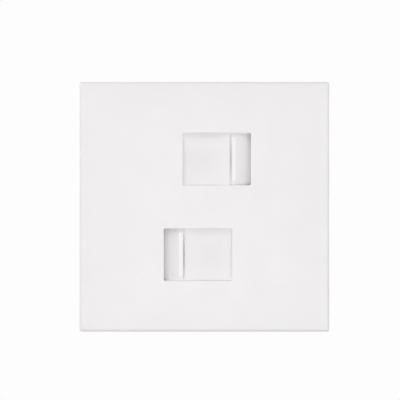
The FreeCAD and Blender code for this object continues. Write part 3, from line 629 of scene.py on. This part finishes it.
makeDoor("upperDoorFace", 1, "upper_shutter", "upper_door", doorSizes)
makeDoor("lowerDoorFace", -1, "lower_shutter", "lower_door", doorSizes)
print("stage: the sliding doors are made")

springSizes = {"wire": 0.28, "turns": 10.0, "closedTurns": 0.9, "closedPitch": 0.12,
               "stepsPerTurn": 30, "wireSides": 10, "sharpAngle": 60}


def springGrid(node, side, sizes):
    # A helix carried along x: the angle grows evenly, and x follows the running sum of the pitch, which
    # falls to a closed coil at each end. Round each point lies a circle in the plane of the outward line
    # and its normal.
    low, high = [np.array(corner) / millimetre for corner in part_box(node)]
    middle, wire = (low + high) / 2, sizes["wire"]
    radius = (high[2] - low[2]) / 2 - wire / 2
    steps = int(sizes["turns"] * sizes["stepsPerTurn"])
    turn = np.linspace(0, sizes["turns"], steps + 1)
    ends = sizes["closedTurns"]
    openness = smoothStep(0, ends, turn) * smoothStep(0, ends, sizes["turns"] - turn)
    pitch = sizes["closedPitch"] + (1 - sizes["closedPitch"]) * openness
    run = np.concatenate([[0], np.cumsum((pitch[1:] + pitch[:-1]) / 2)])
    length = high[0] - low[0] - wire
    x = -length / 2 + length * run / run[-1]
    angle = 2 * np.pi * turn
    line = np.stack([x, radius * np.cos(angle), radius * np.sin(angle)], -1)
    outward = np.stack([0 * x, np.cos(angle), np.sin(angle)], -1)
    along = np.gradient(line, axis=0)
    along /= np.linalg.norm(along, axis=1, keepdims=True)
    sideways = np.cross(along, outward)
    spin = np.linspace(0, 2 * np.pi, sizes["wireSides"], endpoint=False)
    grid = line[:, None] + wire / 2 * (np.cos(spin)[None, :, None] * outward[:, None]
                                       + np.sin(spin)[None, :, None] * sideways[:, None])
    return middle + grid * np.array([side, 1, side])


for side, nodeName, joint in ((1, "upper_shutter_spring", "upper_shutter_slide"),
                              (-1, "lower_shutter_spring", "lower_shutter_slide")):
    coil = makePiece(nodeName.replace("_shutter_spring", "ReturnSpring"),
                     [(closedAlong(springGrid(nodeName, side, springSizes)), True)],
                     springWire, nodeName, "base", springSizes["sharpAngle"])
    low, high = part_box(nodeName)
    travel = next(abs(found["range_m"][1]) for found in frame["joints"] if found["name"] == joint)
    1 - travel / (high.x - low.x)
    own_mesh(coil)
print("stage: the springs are wound")

screwSizes = {
    "pitch": 0.6, "threadDepth": 0.36, "crest": 0.12, "outer": 1.75, "threadFade": 0.8, "pointLength": 1.2,
    "neckRadius": 1.5, "neckEnd": 0.0, "rowsPerTurn": 8, "columns": 40,
    "headRadius": 3.5, "headUnder": 2.5, "headRise": 2.4, "headEase": 0.2, "shoulder": 0.9,
    "shoulderSteps": 6, "headSides": 96, "headRings": 36,
    "driveSpan": 4.0, "driveWing": 0.9, "driveDepth": 1.6, "driveLean": 0.3, "leftDrive": 0.35,
    "rightDrive": 0.9, "sharpAngle": 50,
}


def threadGrid(centre, high, sizes):
    # Radius of the shank at each angle and depth: a wave that climbs one pitch a turn, with flat crests,
    # fading in after the neck and cut by a cone at the point.
    start = sizes["neckEnd"]
    depth = np.linspace(start, high, int((high - start) / sizes["pitch"] * sizes["rowsPerTurn"]))
    angle = np.linspace(0, 2 * np.pi, sizes["columns"], endpoint=False)
    y, a = np.meshgrid(depth, angle, indexing="ij")
    phase = np.mod(y / sizes["pitch"] - a / (2 * np.pi), 1)
    wave = np.clip((1 - 2 * np.abs(phase - 0.5)) / (1 - sizes["crest"]), 0, 1)
    outer = sizes["outer"]
    core = outer - sizes["threadDepth"]
    grown = smoothStep(start, start + sizes["threadFade"], y)
    radius = (1 - grown) * sizes["neckRadius"] + grown * (core + sizes["threadDepth"] * wave)
    radius = np.minimum(radius, outer - np.clip(y - high + sizes["pointLength"], 0, None) / 2)
    return np.stack([centre[0] + radius * np.cos(a), y, centre[1] + radius * np.sin(a)], -1)


def headGrid(centre, sizes, drive):
    # The head from its middle outwards: the top sinks inside two crossed wings, by their inside distance
    # over the walls' lean, up to the full depth; then a rounded shoulder, the side, and back in to the
    # neck.
    angle = np.linspace(0, 2 * np.pi, sizes["headSides"], endpoint=False)
    flat = sizes["headRadius"] - sizes["shoulder"]
    under, ease = sizes["headUnder"], sizes["headEase"]
    top = under + sizes["headRise"]
    away = np.linspace(0, flat, sizes["headRings"])
    r, a = np.meshgrid(away, angle, indexing="ij")
    x, z = r * np.cos(a - drive), r * np.sin(a - drive)
    wings = [np.maximum(np.abs(p) - sizes["driveSpan"] / 2, np.abs(q) - sizes["driveWing"] / 2)
             for p, q in ((x, z), (z, x))]
    inside = -np.minimum(*wings)
    sunk = sizes["driveDepth"] * np.clip(inside / sizes["driveLean"], 0, 1)
    face = np.stack([centre[0] + r * np.cos(a), -(top - sunk), centre[1] + r * np.sin(a)], -1)
    shoulder = [(flat + sizes["shoulder"] * sine, -(top - sizes["shoulder"] * (1 - cosine)))
                for sine, cosine in quarter(sizes["shoulderSteps"])[1:]]
    rest = shoulder + [(sizes["headRadius"], -under - ease), (sizes["headRadius"] - ease, -under),
                       (sizes["neckRadius"], -under), (sizes["neckRadius"], sizes["neckEnd"])]
    return np.concatenate([face, turned(rest, sizes["headSides"], centre)])


for nodeName, drive in (("left_fixing_screw", "leftDrive"), ("right_fixing_screw", "rightDrive")):
    low, high = [np.array(corner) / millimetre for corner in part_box(nodeName)]
    centre = ((low[0] + high[0]) / 2, (low[2] + high[2]) / 2)
    shank = threadGrid(centre, high[1], screwSizes)
    head = headGrid(centre, screwSizes, screwSizes[drive])
    makePiece(nodeName.replace("_fixing_screw", "FixingScrew"),
              [(closedAlong(shank), True), (closedAlong(head), True)],
              zincSteel, nodeName, "base", screwSizes["sharpAngle"])
print("stage: the screws are cut")

stageSizes = {"floorDrop": 0.15, "floorRadius": 0.45, "floorSides": 64, "floorRings": 6,
              "fadeFrom": 0.2, "fadeTo": 0.44, "fadeLeast": 0.6,
              "floorPaint": (244, 244, 244), "backdrop": (253, 253, 253), "ambient": 0.249}


def seenDirectly(graph):
    # 1 for what the camera sees directly or in gloss and glass.
    path = graph.node("ShaderNodeLightPath", {}, {}).socket.node
    direct, gloss, glass = [Signal(graph, path.outputs[f"Is {kind} Ray"])
                            for kind in ("Camera", "Glossy", "Transmission")]
    return direct + gloss + glass


world = bpy.data.worlds.new("paleStudio")
bpy.context.scene.world = world
world.use_nodes = True
graph = Graph(world.node_tree)
shown = seenDirectly(graph)
ambient = graph.node("ShaderNodeBackground", {}, {"Color": (1, 1, 1, 1), "Strength": stageSizes["ambient"]})
backdrop = graph.node("ShaderNodeBackground", {}, {"Color": tone(*stageSizes["backdrop"]), "Strength": 1.0})
mixed = graph.node("ShaderNodeMixShader", {}, {0: shown, 1: ambient, 2: backdrop})
graph.node("ShaderNodeOutputWorld", {}, {"Surface": mixed})

floorFinish, graph = newFinish("paleFloorPaint")
shown = seenDirectly(graph)
paint = graph.node("ShaderNodeBsdfDiffuse", {}, {"Color": tone(*stageSizes["floorPaint"])})
glow = graph.node("ShaderNodeEmission", {}, {"Color": tone(*stageSizes["backdrop"]), "Strength": 1.0})
place = graph.node("ShaderNodeTexCoord", {}, {}, "Object")
away = graph.node("ShaderNodeVectorMath", {"operation": "LENGTH"}, {0: place}, "Value")
edgeFade = graph.node("ShaderNodeMapRange", {"interpolation_type": "SMOOTHSTEP"},
                      {"Value": away, "From Min": stageSizes["fadeFrom"], "From Max": stageSizes["fadeTo"],
                       "To Min": stageSizes["fadeLeast"], "To Max": 1.0})
mixed = graph.node("ShaderNodeMixShader", {}, {0: shown * edgeFade, 1: paint, 2: glow})
graph.node("ShaderNodeOutputMaterial", {}, {"Surface": mixed})

# The floor is a round sheet below the plate: circles at even steps out from its middle.
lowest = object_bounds()[0].z
rings, sides = stageSizes["floorRings"], stageSizes["floorSides"]
ring = np.linspace(0, 2 * np.pi, sides, endpoint=False)
spokes = np.linspace(0, stageSizes["floorRadius"], rings)
floorGrid = np.stack([spokes[:, None] * np.cos(ring), spokes[:, None] * np.sin(ring),
                      np.full((rings, sides), lowest - stageSizes["floorDrop"])], -1)
mesh = bpy.data.meshes.new("paleFloor")
mesh.from_pydata(floorGrid.reshape(-1, 3).tolist(), [], carriedGrid(rings, sides, True).tolist())
mesh.materials.append(floorFinish)
floor = bpy.data.objects.new("paleFloor", mesh)
bpy.context.scene.collection.objects.link(floor)
floor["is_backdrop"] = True

lamps = {
    "frontSoftbox": {"turn": 0, "rise": -4, "distance": 1.3, "size": 0.5, "power": 4.47},
    "highSoftbox": {"turn": -35, "rise": 45, "distance": 1.3, "size": 0.5, "power": 3.755},
    "rightSoftbox": {"turn": 30, "rise": -4, "distance": 1.3, "size": 0.5, "power": 2.02},
    "upperLeftLamp": {"turn": -60, "rise": 40, "distance": 0.3, "size": 0.115, "power": 0.0816},
    "leftRim": {"turn": -80, "rise": 0, "distance": 1.3, "size": 0.5, "power": 2.64},
    "rightLamp": {"turn": 80, "rise": 30, "distance": 0.3, "size": 0.115, "power": 0.0887},
    "rightRim": {"turn": 60, "rise": 18, "distance": 1.3, "size": 0.5, "power": 1.19},
    "rearSoftbox": {"turn": -157, "rise": 23, "distance": 1.4, "size": 0.9, "power": 7.0},
    "rearFill": {"turn": 145, "rise": -1, "distance": 1.2, "size": 0.8, "power": 2.5},
}
# Each lamp stands at its distance from the middle, turned from the front to the right and raised, in
# degrees, and faces the middle.
for name, lamp in lamps.items():
    light = bpy.data.lights.new(name, "AREA")
    light.shape, light.size, light.energy = "SQUARE", lamp["size"], lamp["power"]
    holder = bpy.data.objects.new(name, light)
    holder.visible_camera = False
    bpy.context.scene.collection.objects.link(holder)
    turn, rise = math.radians(lamp["turn"]), math.radians(lamp["rise"])
    away = Vector((math.sin(turn) * math.cos(rise), -math.cos(turn) * math.cos(rise), math.sin(rise)))
    holder.location = away * lamp["distance"]
    holder.rotation_euler = (-away).to_track_quat("-Z", "Y").to_euler()

view = {"lens": 200.0, "sensor": 36.0, "frameWidth": 0.1376, "across": -0.00153, "up": 0.00236,
        "nearest": 0.01, "farthest": 10}
# The camera looks straight at the front. Its distance is the frame's width times the lens over the
# sensor, so the frame has that width at the plate's front face.
camera = bpy.data.cameras.new("frontCamera")
camera.type, camera.lens, camera.sensor_width = "PERSP", view["lens"], view["sensor"]
cameraHolder = bpy.data.objects.new("frontCamera", camera)
bpy.context.scene.collection.objects.link(cameraHolder)
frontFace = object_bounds()[0].y
distance = view["frameWidth"] * view["lens"] / view["sensor"]
cameraHolder.location = (view["across"], frontFace - distance, view["up"])
cameraHolder.rotation_euler = (math.pi / 2, 0, 0)
camera.clip_start, camera.clip_end = view["nearest"], view["farthest"]
bpy.context.scene.camera = cameraHolder
bpy.context.scene.view_settings.view_transform = "Standard"
print("stage: floor, lamps and camera stand")
